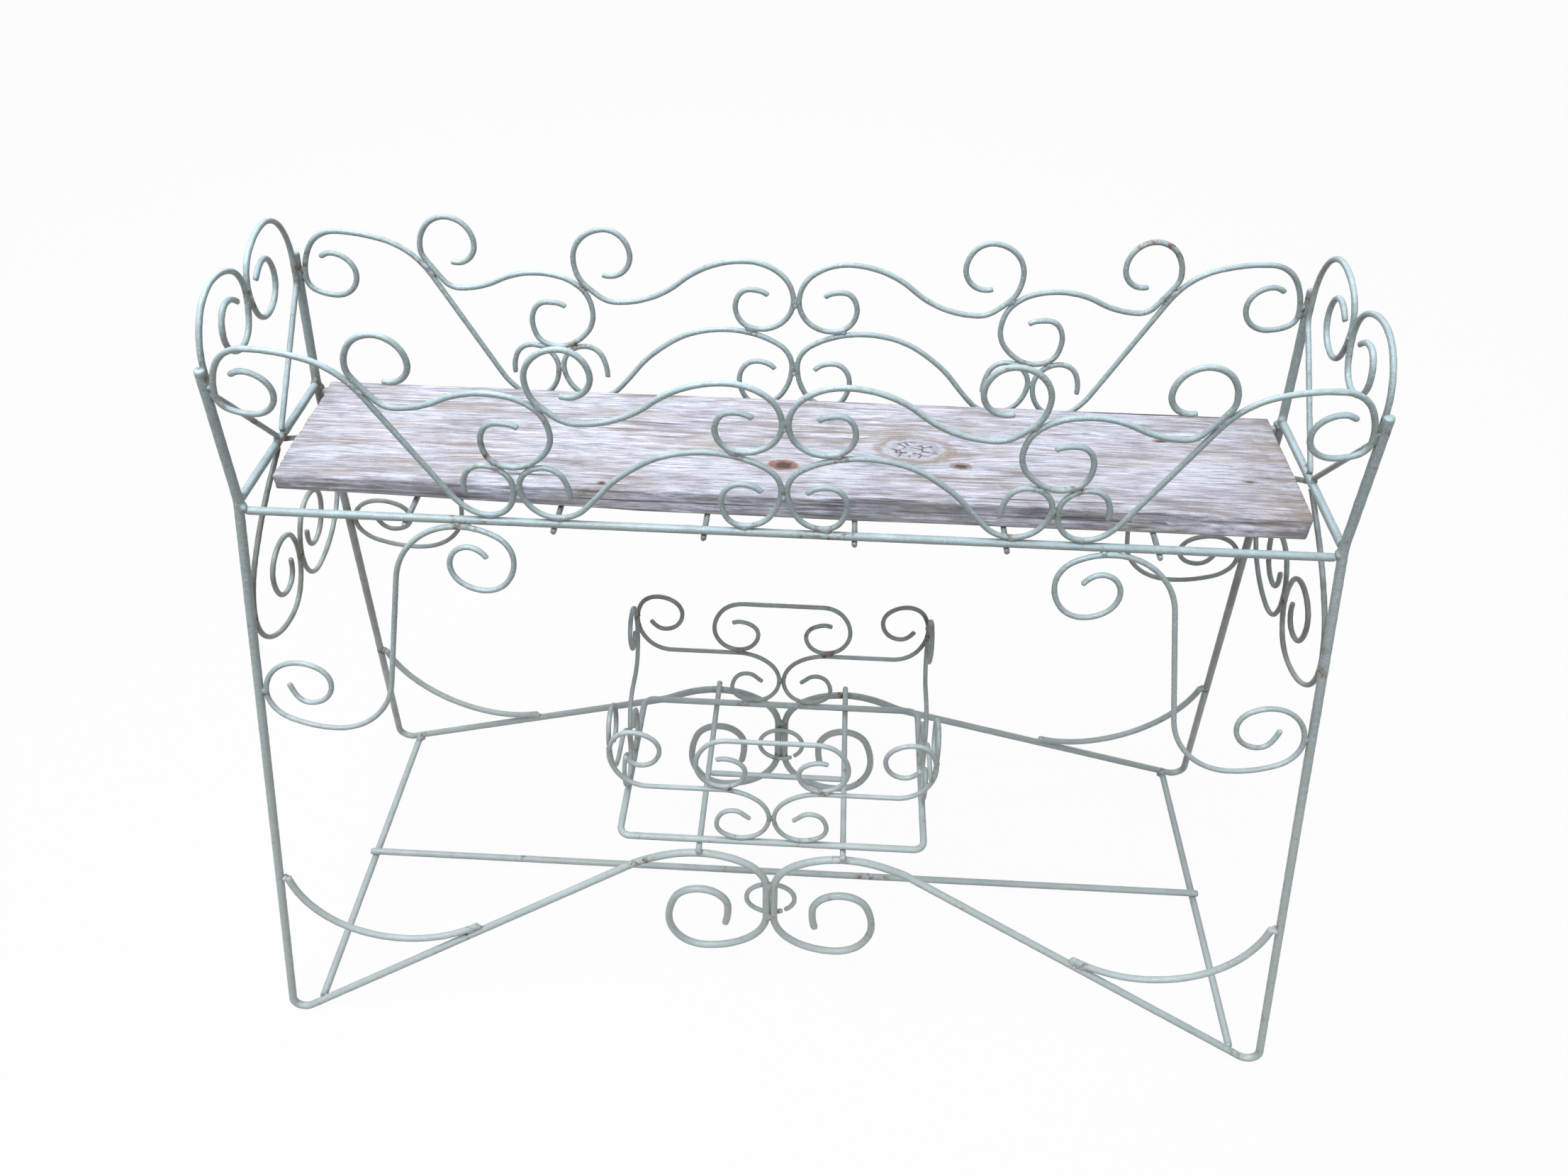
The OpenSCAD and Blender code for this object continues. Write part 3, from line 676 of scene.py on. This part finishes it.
for v in bm.verts:
    x, y, z = v.co
    up = (z - board_low.z) / board_size.z
    front = (board_high.y - y) / board_size.y
    by_left = nearness(x - board_low.x, END_REACH)
    by_right = nearness(board_high.x - x, END_REACH)
    thinning = nearness(x - board_low.x, THIN_REACH)
    # the ends: the left one is broken off ragged, the right one only a little uneven
    grain = noise_at(1.3, y * 260, z * 60)
    broad = noise_at(5.1, y * 38, z * 12)
    x += max(0.0, RAGGED_LEFT * (0.42 + 0.3 * grain + 0.5 * broad) * by_left)
    x -= max(0.0, RAGGED_RIGHT * (0.35 + 0.4 * grain + 0.3 * broad) * by_right)
    # the long edges wander, and the front one is split into layers
    by_front = nearness(y - board_low.y, EDGE_REACH)
    by_back = nearness(board_high.y - y, EDGE_REACH)
    edge_walk = WANDER * (0.5 + 0.5 * noise_at(x * 9, 2.2, z * 20))
    y += by_front * (edge_walk + SPLIT_DEEP * layer_split(x, z))
    y -= by_back * WANDER * (0.5 + 0.5 * noise_at(x * 8, 7.7, z * 20))
    # the top: soft hollows, raised grain and the knots; below, the front left has worn thin
    ripple = noise_at(x * 5, y * 330, 3) + 0.7 * noise_at(x * 16, y * 700, 8)
    hollow = noise_at(x * 6, y * 30, 1)
    if up > 0.5:
        z -= TOP_WORN + RIPPLE * ripple + HOLLOW * hollow - knot_lift(x, y)
        z -= FRONT_WORN * max(0.0, by_front - 0.25) * (0.6 + 0.4 * noise_at(x * 14, 0, 5))
    else:
        z += UNDER_WORN * (1 + ripple)
        z += THIN_LEFT * thinning ** 0.8 * max(0.0, front - 0.55) / 0.45 * (1 - up * 2)
    v.co = (x, y, z)
for f in bm.faces:
    f.smooth = True
bm.normal_update()
plank = new_object("plank", bm)
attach(plank, "plank")
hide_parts("board")
print("plank has", 2 * len(plank.data.polygons), "triangles")

# %% [markdown]
# ## Old wood
# Wood left outdoors turns silver grey, because rain takes the brown out of its surface. Hard lines of the
# grain stay pale and stand up, and soft lines between them sink and hold dirt. The pattern is noise drawn
# out along the board. Near a knot the distance to its middle bends the lines, as the grain bends round it.
# %% wood grain group
GRAIN_MASKS = ["Streak", "Fine", "Line", "Check", "Fleck"]
sheet, given, out = effect_group("old_grain", {}, GRAIN_MASKS)


def drawn_out(scale, shift=(0, 0, 0), detail=3.0, rough=0.5):
    """Noise drawn out along the grain."""
    return sheet.noise(sheet.stretch(given["Place"], scale, shift), 1.0, detail, rough)


rings = sheet.math("PINGPONG", sheet.times(drawn_out((2.2, 42, 42), detail=2, rough=0.4), 34.0), 1.0)
crack = sheet.ramp(drawn_out((7, 210, 210), (2, 5, 1), 3, 0.55), 0.4, 0.35)
cracked_part = sheet.ramp(drawn_out((5, 26, 26), (9, 1, 3), 2), 0.48, 0.58)
sheet.link(drawn_out((10, 260, 100), detail=6, rough=0.62), out["Streak"])
sheet.link(drawn_out((42, 900, 400), detail=4, rough=0.6), out["Fine"])
sheet.link(sheet.ramp(rings, 0.0, 0.5), out["Line"])
sheet.link(sheet.times(crack, cracked_part), out["Check"])
sheet.link(sheet.ramp(drawn_out((60, 620, 300), detail=3, rough=0.7), 0.6, 0.72), out["Fleck"])
print("grain group ready")

# %% wood colours
WOOD_LIGHT = (0.57, 0.58, 0.69)
WOOD_MID = (0.43, 0.44, 0.51)
WOOD_DARK = (0.12, 0.12, 0.13)
WOOD_BROWN = (0.24, 0.20, 0.17)
WOOD_TAN = (0.45, 0.40, 0.37)
WOOD_WHITE = (0.80, 0.81, 0.92)
KNOT_RED = (0.22, 0.09, 0.06)
CHECK_DARK = (0.055, 0.045, 0.042)


def knot_distance(sheet, place, knot, grow=1.0):
    """Distance from a knot's middle, where 1 is its own outline."""
    at = (*knot["at"], 0)
    half = (knot["half"][0] * grow, knot["half"][1] * grow)
    turned = sheet.stretch(place, (1 / half[0], 1 / half[1], 0), (-at[0] / half[0], -at[1] / half[1], 0))
    n = sheet.node("ShaderNodeVectorMath", operation="LENGTH")
    sheet.link(turned, n.inputs[0])
    return n.outputs["Value"]


def bend_round_knots(sheet, place):
    """The place with its lines across the board spread round the two big knots."""
    parts = sheet.parts(place)
    drift = sheet.math("SUBTRACT", sheet.noise(sheet.stretch(place, (5, 12, 12)), 1.0, 2), 0.5)
    across = sheet.math("ADD", parts["Y"], sheet.times(drift, 12 * MM))
    for knot in KNOTS[:2]:
        near = sheet.ramp(knot_distance(sheet, place, knot, KNOT_REACH), 0.0, 1.0, 0.8, 0.0)
        offset = sheet.math("SUBTRACT", parts["Y"], knot["at"][1])
        across = sheet.math("SUBTRACT", across, sheet.times(offset, near))
    flow = sheet.node("ShaderNodeCombineXYZ")
    sheet.link(parts["X"], flow.inputs["X"])
    sheet.link(across, flow.inputs["Y"])
    sheet.link(parts["Z"], flow.inputs["Z"])
    return flow.outputs[0]


def paint_knots(sheet, place, colour, deep):
    """Lays the knots over the colour, and adds their cracks and cores to the deep mask."""
    crazed = sheet.node("ShaderNodeTexVoronoi", feature="DISTANCE_TO_EDGE")
    sheet.link(sheet.stretch(place, (70, 130, 70)), crazed.inputs["Vector"])
    crazed.inputs["Scale"].default_value = 1
    in_patches = sheet.ramp(sheet.noise(place, 90, 3), 0.43, 0.5)
    crazed_line = sheet.times(sheet.ramp(crazed.outputs["Distance"], 0.05, 0.015), in_patches)
    for i, knot in enumerate(KNOTS):
        rough_edge = sheet.math("SUBTRACT", sheet.noise(place, 130, 4), 0.5)
        ragged = sheet.math("ADD", knot_distance(sheet, place, knot), sheet.times(rough_edge, 0.7))
        inside = sheet.ramp(ragged, 1.0, 0.8)
        if i == 0:
            ring = sheet.math("PINGPONG", sheet.times(ragged, 5.0), 1.0)
            body = sheet.lay(WOOD_DARK, WOOD_MID, ring, 0.5)
            rim = sheet.times(sheet.ramp(ragged, 0.78, 0.98), sheet.ramp(ragged, 1.3, 1.02))
            colour = sheet.lay(body, colour, inside, 0.85)
            colour = sheet.lay(WOOD_BROWN, colour, rim, 0.75)
            sunk = sheet.times(crazed_line, sheet.ramp(ragged, 0.85, 0.6))
        else:
            colour = sheet.lay(KNOT_RED if i == 1 else WOOD_BROWN, colour, inside, 0.85)
            speckled = sheet.math("ADD", ragged, sheet.times(sheet.noise(place, 300, 3), 0.5))
            sunk = sheet.ramp(speckled, 0.85, 0.6)
        deep = sheet.math("MAXIMUM", deep, sunk)
    return sheet.lay(CHECK_DARK, colour, deep, 0.9), deep


def plank_wood():
    """The plank's finish, laid coat by coat over silver grey."""
    material, surface = new_material("plank_wood_weathered")
    sheet = NodeSheet(material.node_tree)
    place = sheet.place()
    parts = sheet.parts(place)
    flow = bend_round_knots(sheet, place)
    grain = use_group(sheet, "old_grain", flow)
    grit = use_group(sheet, "grit", place, Size=700.0)

    def patches(scale, shift, low, high):
        """Blotches drawn out along the bent grain."""
        drawn = sheet.stretch(flow, scale, shift)
        return use_group(sheet, "blotches", drawn, Size=1.0, Low=low, High=high)["Mask"]

    def mottle(scale, low, high, detail=3.0, rough=0.5):
        """Uneven noise that runs straight, for damp and dirt."""
        return sheet.ramp(sheet.noise(sheet.stretch(place, scale), 1.0, detail, rough), low, high)

    # silver grey, in streaks and fine lines
    colour = sheet.blend(sheet.ramp(grain["Streak"], 0.36, 0.62), WOOD_MID, WOOD_LIGHT)
    colour = sheet.lay(WOOD_DARK, colour, sheet.ramp(grain["Fine"], 0.5, 0.36), 0.62)
    colour = sheet.lay(WOOD_WHITE, colour, sheet.ramp(grain["Fine"], 0.55, 0.66), 0.7)
    hair = sheet.ramp(sheet.noise(sheet.stretch(flow, (30, 1500, 700), (4, 4, 4)), 1.0, 2, 0.5), 0.44, 0.34)
    hair = sheet.times(hair, sheet.ramp(sheet.noise(place, 45, 3), 0.4, 0.58))
    colour = sheet.lay(WOOD_DARK, colour, hair, 0.62)
    # worn brown places, dark smudges and tan ones, all long along the grain
    worn = sheet.times(patches((9, 44, 30), (1, 4, 2), 0.46, 0.6), sheet.ramp(grain["Streak"], 0.6, 0.42))
    colour = sheet.lay(WOOD_BROWN, colour, worn, 0.8)
    colour = sheet.lay(WOOD_DARK, colour, patches((16, 70, 60), (3, 8, 5), 0.5, 0.68), 0.5)
    colour = sheet.lay(WOOD_TAN, colour, patches((9, 60, 40), (6, 2, 8), 0.54, 0.7), 0.5)
    colour = sheet.lay(WOOD_DARK, colour, sheet.ramp(grain["Line"], 0.35, 0.0), 0.28)
    colour = sheet.lay(WOOD_WHITE, colour, grain["Fleck"], 0.35)
    colour = sheet.lay(WOOD_DARK, colour, sheet.ramp(grit["Grain"], 0.42, 0.3), 0.35)
    colour, deep = paint_knots(sheet, place, colour, grain["Check"])
    # the ends are darker, where water soaks in, and the front face and the underside are painted darker, as
    # painted shade
    facing = sheet.facing()
    end = sheet.ramp(sheet.math("ABSOLUTE", facing["X"]), 0.35, 0.8)
    colour = sheet.lay(WOOD_DARK, colour, end, 0.62)
    damp = sheet.times(sheet.ramp(parts["X"], 0.41, 0.465), mottle((40, 110, 60), 0.42, 0.56, 5, 0.65))
    colour = sheet.lay(WOOD_BROWN, colour, damp, 0.7)
    # the front face is painted darker in mottled patches, as painted shade
    front = sheet.times(sheet.ramp(facing["Y"], -0.3, -0.75), mottle((11, 60, 130), 0.46, 0.6, 4, 0.6))
    colour = sheet.lay(WOOD_DARK, colour, front, 0.55)
    soaked = sheet.times(sheet.ramp(parts["Z"], 0.6925, 0.6875), mottle((30, 30, 300), 0.35, 0.55))
    colour = sheet.lay(WOOD_BROWN, colour, soaked, 0.8)
    # the underside is painted browner, as painted shade
    colour = sheet.lay(WOOD_BROWN, colour, sheet.ramp(facing["Z"], -0.2, -0.8), 0.5)
    sheet.link(colour, surface.inputs["Base Color"])
    sheet.link(sheet.ramp(grain["Fine"], 0.3, 0.7, 0.92, 0.74), surface.inputs["Roughness"])
    surface.inputs["Specular IOR Level"].default_value = 0.3
    ridges = sheet.bump(grain["Streak"], 0.5, 1.2 * MM)
    fine = sheet.bump(grain["Fine"], 0.7, 0.7 * MM, ridges)
    cut = sheet.bump(deep, 0.8, -1.2 * MM, fine)
    sheet.link(sheet.bump(grit["Grain"], 0.25, 0.4 * MM, cut), surface.inputs["Normal"])
    return material


plank.data.materials.append(plank_wood())
print("wood on")

# %% [markdown]
# ## Finish
# The view transform is set to Standard.
# %% finish
scene.view_settings.view_transform = "Standard"
